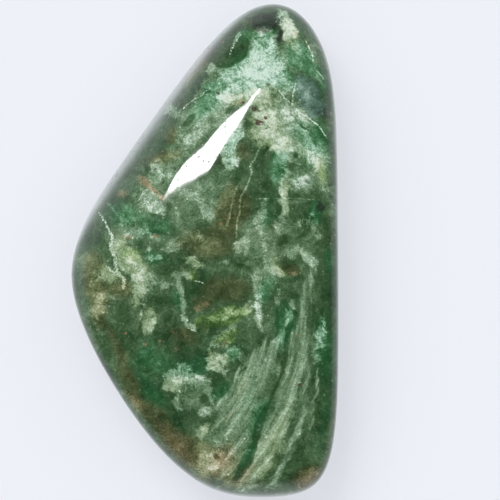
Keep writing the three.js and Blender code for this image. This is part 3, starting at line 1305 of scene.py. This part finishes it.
    def dots(self, canvas: NodeCanvas, place: Signal, speckle: Speckle) -> Signal:
        """Scatters small round dots.

        Args:
            canvas: the material's canvas.
            place: the place in mm.
            speckle: their size and how close they lie.

        Returns:
            1 at the middle of a dot, 0 off them.
        """
        cells = canvas.node("ShaderNodeTexVoronoi", None, {"Vector": place, "Scale": speckle.scale})
        away = Signal(canvas, cells.outputs["Distance"])
        round_dot = canvas.step(away, speckle.radius, speckle.radius / 3)
        pick = canvas.signal("ShaderNodeSeparateColor", None, {0: cells.outputs["Color"]})
        return round_dot * canvas.step(pick, 0.5, 0.7)


def skin_of(stone: bpy.types.Object) -> BVHTree:
    """Returns the stone's faces in a form that rays can be cast at."""
    return BVHTree.FromObject(stone, bpy.context.evaluated_depsgraph_get())


def height_at(skin: BVHTree, x: float, y: float) -> float:
    """Finds how high the stone's upper face lies over a point of its plan.

    Args:
        skin: the stone's skin.
        x: across the stone, in mm.
        y: along the stone, in mm.

    Returns:
        The height in mm; over a point just outside the outline, that of its widest line.
    """
    where = skin.ray_cast(Vector((x * MM, y * MM, HIGH_ABOVE)), Vector((0, 0, -1)))[0]
    return where.z / MM if where else WIDEST_LINE_HEIGHT


@dataclass
class TumbledStone:
    """The stone itself.

    Attributes:
        half_width: half its rough width.
        half_length: half its rough length.
        half_thickness: half its rough thickness.
        edge_tightness: how tightly one face turns into the next.
        worn_flat_depth: how much of its back is worn level.
        divisions: how many points lie along each edge of the mesh's starting cube, X, Y and Z.
        pits_from: the height above the surface below which no pit is sunk.
        pits_to: the height from which they are sunk fully.
    """

    half_width: float = 7.6
    half_length: float = 14.1
    half_thickness: float = 4.3
    edge_tightness: float = 12
    worn_flat_depth: float = 0.05
    divisions: tuple[int, int, int] = (120, 225, 60)
    pits_from: float = 4.5
    pits_to: float = 5.5

    def build(self) -> bpy.types.Object:
        """Makes the stone's mesh, dresses it and puts it in the place of its solid.

        Returns:
            The finished piece.
        """
        material = bpy.data.materials.new("mottled_chalcedony")
        stone = self.mesh_object(material)
        PolishedChalcedony().dress(stone, material)
        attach(stone, "root")
        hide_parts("stone")
        return stone

    def mesh_object(self, material: bpy.types.Material) -> bpy.types.Object:
        """Runs the stone's Geometry Nodes and keeps the plain mesh that they make.

        Args:
            material: the material that the nodes set.

        Returns:
            An object at the origin with that mesh and no modifier.
        """
        blank = bpy.data.objects.new("stone_blank", bpy.data.meshes.new("stone_blank"))
        bpy.context.scene.collection.objects.link(blank)
        group = self.skin_group()
        modifier = blank.modifiers.new("stone skin", "NODES")
        modifier.node_group = group
        given = {
            "Half Width": self.half_width * MM,
            "Half Length": self.half_length * MM,
            "Half Thickness": self.half_thickness * MM,
            "Edge Tightness": self.edge_tightness,
            "Worn Flat Depth": self.worn_flat_depth * MM,
            "Points Across": self.divisions[0],
            "Points Along": self.divisions[1],
            "Points Up": self.divisions[2],
            "Material": material,
        }
        for socket in group.interface.items_tree:
            if socket.in_out == "INPUT":
                modifier[socket.identifier] = given[socket.name]
        graph = bpy.context.evaluated_depsgraph_get()
        mesh = bpy.data.meshes.new_from_object(blank.evaluated_get(graph), depsgraph=graph)
        mesh.name = "tumbled_stone"
        blank.modifiers.remove(modifier)
        bpy.data.objects.remove(blank)
        stone = bpy.data.objects.new("tumbled_stone", mesh)
        bpy.context.scene.collection.objects.link(stone)
        bpy.context.view_layer.update()
        return stone

    def skin_group(self) -> bpy.types.NodeTree:
        """Builds the Geometry Nodes that move a ball's points on to the stone's skin.

        Returns:
            The node group, with a named input for each size.
        """
        canvas = NodeCanvas.of_group(
            "stone skin",
            "GeometryNodeTree",
            {
                "Half Width": "NodeSocketFloat",
                "Half Length": "NodeSocketFloat",
                "Half Thickness": "NodeSocketFloat",
                "Edge Tightness": "NodeSocketFloat",
                "Worn Flat Depth": "NodeSocketFloat",
                "Points Across": "NodeSocketInt",
                "Points Along": "NodeSocketInt",
                "Points Up": "NodeSocketInt",
                "Material": "NodeSocketMaterial",
            },
            {"Stone": "NodeSocketGeometry"},
        )
        cube = canvas.signal(
            "GeometryNodeMeshCube",
            None,
            {
                "Size": (2, 2, 2),
                "Vertices X": canvas.given("Points Across"),
                "Vertices Y": canvas.given("Points Along"),
                "Vertices Z": canvas.given("Points Up"),
            },
        )
        ball = canvas.vector("NORMALIZE", canvas.signal("GeometryNodeInputPosition"))
        halves = canvas.signal(
            "ShaderNodeCombineXYZ",
            None,
            {
                "X": canvas.given("Half Width"),
                "Y": canvas.given("Half Length"),
                "Z": canvas.given("Half Thickness"),
            },
        )
        start = canvas.vector("MULTIPLY", ball, halves)
        share = self.depth_share(canvas, start, canvas.given("Edge Tightness"))
        skin = canvas.signal(
            "GeometryNodeSetPosition",
            None,
            {"Geometry": cube, "Position": canvas.vector("SCALE", start, 1 / share)},
        )
        level, skin = self.wear_flat(canvas, skin, canvas.given("Worn Flat Depth"))
        stood = self.stand_on_origin(canvas, skin, level)
        pitted = self.sink_pits(canvas, stood)
        smooth = canvas.signal("GeometryNodeSetShadeSmooth", None, {"Geometry": pitted})
        realized = canvas.signal("GeometryNodeRealizeInstances", None, {"Geometry": smooth})
        dressed = canvas.signal(
            "GeometryNodeSetMaterial",
            None,
            {"Geometry": realized, "Material": canvas.given("Material")},
        )
        canvas.give("Stone", dressed)
        return canvas.tree

    def depth_share(self, canvas: NodeCanvas, place: Signal, tightness: Signal) -> Signal:
        """Says how many times further out a point lies than the stone's skin does on its ray.

        Args:
            canvas: the group's canvas.
            place: the point.
            tightness: how tightly one face turns into the next.

        Returns:
            The share, 1 on the skin.
        """
        total: Any = 0
        for face in BROAD_FACES.values():
            facing = canvas.vector("DOT_PRODUCT", place, tuple(face.measure())).at_least(0)
            total = facing**tightness + total
        return total ** (1 / tightness)

    def wear_flat(self, canvas: NodeCanvas, skin: Signal, depth: Signal) -> tuple[Signal, Signal]:
        """Levels the lowest part of the back.

        Args:
            canvas: the group's canvas.
            skin: the mesh.
            depth: how much is worn away.

        Returns:
            The height of the flat, and the worn mesh.
        """
        lowest = canvas.signal("GeometryNodeBoundBox", None, {"Geometry": skin}, "Min")
        level = canvas.signal("ShaderNodeSeparateXYZ", None, {0: lowest}, "Z") + depth
        floor = canvas.signal("ShaderNodeCombineXYZ", None, {"X": -1.0, "Y": -1.0, "Z": level})
        raised = canvas.vector("MAXIMUM", canvas.signal("GeometryNodeInputPosition"), floor)
        return level, canvas.signal(
            "GeometryNodeSetPosition", None, {"Geometry": skin, "Position": raised}
        )

    def stand_on_origin(self, canvas: NodeCanvas, skin: Signal, level: Signal) -> Signal:
        """Puts the origin under the middle of the stone, on its flat.

        Args:
            canvas: the group's canvas.
            skin: the mesh.
            level: the height of its flat.

        Returns:
            The moved mesh.
        """
        box = canvas.node("GeometryNodeBoundBox", None, {"Geometry": skin})
        middle = canvas.vector(
            "SCALE", canvas.vector("ADD", box.outputs["Min"], box.outputs["Max"]), 0.5
        )
        flat_middle = canvas.vector("MULTIPLY", middle, (1, 1, 0))
        lift = canvas.signal("ShaderNodeCombineXYZ", None, {"Z": level})
        away = canvas.vector("SUBTRACT", (0, 0, 0), canvas.vector("ADD", flat_middle, lift))
        return canvas.signal("GeometryNodeSetPosition", None, {"Geometry": skin, "Offset": away})

    def sink_pits(self, canvas: NodeCanvas, skin: Signal) -> Signal:
        """Presses the small pits into the upper face.

        Args:
            canvas: the group's canvas.
            skin: the mesh, in its place.

        Returns:
            The pitted mesh.
        """
        place = canvas.signal("GeometryNodeInputPosition")
        plan = canvas.vector("MULTIPLY", place, (1, 1, 0))
        height = canvas.signal("ShaderNodeSeparateXYZ", None, {0: place}, "Z")
        on_top = canvas.step(height, self.pits_from * MM, self.pits_to * MM)
        sunk: Any = 0
        for pit in PITS:
            away = canvas.vector("DISTANCE", plan, (pit.x * MM, pit.y * MM, 0))
            sunk = canvas.step(away, pit.width / 2 * MM, 0) * (pit.depth * MM) + sunk
        push = canvas.vector("SCALE", canvas.signal("GeometryNodeInputNormal"), sunk * on_top * -1)
        return canvas.signal("GeometryNodeSetPosition", None, {"Geometry": skin, "Offset": push})


@dataclass
class Softbox:
    """The small bright panel that the polish mirrors as the long highlight on the ridge.

    Attributes:
        heading: the way it lies from the stone, counted from +X towards +Y, in degrees.
        tilt: how far from straight above it hangs, in degrees.
        distance: how far away it hangs, in metres.
        corners: its outline in its own plane, in metres: across the way it faces, then up it.
        strength: how bright it is next to white paper.
    """

    heading: float = 119.9
    tilt: float = 22.8
    distance: float = 1.0
    corners: tuple[tuple[float, float], ...] = (
        (-0.223, 0.143),
        (-0.165, 0.055),
        (-0.073, -0.079),
        (0.0, -0.16),
        (0.063, -0.117),
        (0.15, -0.092),
        (0.217, -0.054),
        (0.315, -0.012),
        (0.2, -0.036),
        (0.061, 0.006),
        (-0.081, 0.05),
        (-0.195, 0.166),
        (-0.228, 0.186),
    )
    strength: float = 26.0

    def build(self) -> None:
        """Hangs the panel over the stone, facing it."""
        turn, lean = math.radians(self.heading), math.radians(self.tilt)
        towards = Vector(
            (math.sin(lean) * math.cos(turn), math.sin(lean) * math.sin(turn), math.cos(lean))
        )
        across = Vector((math.sin(turn), -math.cos(turn), 0))
        upward = towards.cross(across)
        points = [
            towards * self.distance + across * right + upward * rise
            for right, rise in self.corners
        ]
        mesh = bpy.data.meshes.new("softbox")
        mesh.from_pydata(points, [], [range(len(points))])
        panel = bpy.data.objects.new("softbox", mesh)
        bpy.context.scene.collection.objects.link(panel)
        material = bpy.data.materials.new("softbox")
        material.use_nodes = True
        material.node_tree.nodes.clear()
        canvas = NodeCanvas(material.node_tree)
        glow = canvas.node("ShaderNodeEmission", None, {"Strength": self.strength})
        output = canvas.node("ShaderNodeOutputMaterial")
        canvas.feed(output.inputs["Surface"], glow.outputs[0])
        mesh.materials.append(material)
        panel.visible_camera = False


@dataclass
class Studio:
    """The floor, the wide light and the sky round the stone.

    Attributes:
        floor_size: the side of the square floor, in metres.
        floor_colour: its colour.
        floor_glow: the share of its brightness that it gives by itself, as a lit table does.
        fill_size: the side of the wide overhead light, in metres.
        fill_height: how high it hangs, in metres.
        fill_power: its power, in watts.
        sky_low: the sky's colour at the horizon.
        sky_high: its colour overhead.
        sky_turn: how far up it starts to darken and where it is dark, as shares of straight up.
    """

    floor_size: float = 3.0
    floor_colour: Colour = srgb(239, 242, 249)
    floor_glow: float = 0.62
    fill_size: float = 1.6
    fill_height: float = 0.9
    fill_power: float = 8.4
    sky_low: Colour = (0.8, 0.82, 0.88)
    sky_high: Colour = (0.02, 0.02, 0.02)
    sky_turn: tuple[float, float] = (0.1, 0.6)

    def build(self) -> None:
        """Makes the floor, the wide light and the sky."""
        self.floor()
        self.fill_light()
        Softbox().build()
        self.sky()

    def floor(self) -> None:
        """Lays the pale floor."""
        bpy.ops.mesh.primitive_plane_add(size=self.floor_size)
        plane = bpy.context.object
        plane.name = "floor"
        material = bpy.data.materials.new("pale_floor")
        material.use_nodes = True
        shader = material.node_tree.nodes["Principled BSDF"]
        shader.inputs["Base Color"].default_value = (
            *(part * (1 - self.floor_glow) for part in self.floor_colour),
            1,
        )
        shader.inputs["Emission Color"].default_value = (*self.floor_colour, 1)
        shader.inputs["Emission Strength"].default_value = self.floor_glow
        shader.inputs["Roughness"].default_value = 0.8
        shader.inputs["Specular IOR Level"].default_value = 0.0
        plane.data.materials.append(material)

    def fill_light(self) -> None:
        """Hangs a wide soft light overhead, which the polish doesn't mirror."""
        data = bpy.data.lights.new("fill", "AREA")
        data.shape = "SQUARE"
        data.size = self.fill_size
        data.energy = self.fill_power
        light = bpy.data.objects.new("fill", data)
        light.location = (0, 0, self.fill_height)
        light.visible_glossy = False
        bpy.context.scene.collection.objects.link(light)

    def sky(self) -> None:
        """Makes a sky that is pale at the horizon and dark overhead."""
        world = bpy.data.worlds.new("studio")
        world.use_nodes = True
        world.node_tree.nodes.clear()
        bpy.context.scene.world = world
        canvas = NodeCanvas(world.node_tree)
        direction = canvas.signal("ShaderNodeTexCoord", output="Generated")
        rise = canvas.signal("ShaderNodeSeparateXYZ", None, {0: direction}, "Z")
        colour = canvas.blend(canvas.step(rise, *self.sky_turn), self.sky_low, self.sky_high)
        background = canvas.node("ShaderNodeBackground", None, {"Color": colour, "Strength": 1.0})
        output = canvas.node("ShaderNodeOutputWorld")
        canvas.feed(output.inputs["Surface"], background.outputs[0])


@dataclass
class Viewpoint:
    """The camera, which looks straight down on the stone.

    Attributes:
        field: how much it takes in from side to side, in mm, at the stone's widest line.
        aim: the point under the middle of the picture, in mm.
        distance: how far the camera stands from there, in metres.
        sensor: the width of the camera's sensor, in mm.
    """

    field: float = 28.67
    aim: tuple[float, float, float] = (2.57, 0.02, 4.1)
    distance: float = 0.3
    sensor: float = 36.0

    def build(self) -> None:
        """Makes the camera and makes it the scene's camera."""
        data = bpy.data.cameras.new("camera")
        data.sensor_width = self.sensor
        data.lens = self.sensor * self.distance / (self.field * MM)
        data.clip_start = 0.01
        camera = bpy.data.objects.new("camera", data)
        x, y, z = (part * MM for part in self.aim)
        camera.location = (x, y, z + self.distance)
        bpy.context.scene.collection.objects.link(camera)
        bpy.context.scene.camera = camera


def main() -> None:
    """Builds the scene and logs how many faces the stone has."""
    logging.basicConfig(level=logging.INFO, format="%(name)s: %(message)s")
    bpy.context.scene.view_settings.view_transform = "Standard"
    Viewpoint().build()
    Studio().build()
    stone = TumbledStone().build()
    LOG.info("%s has %d faces", stone.name, len(stone.data.polygons))


if __name__ == "__main__":
    main()
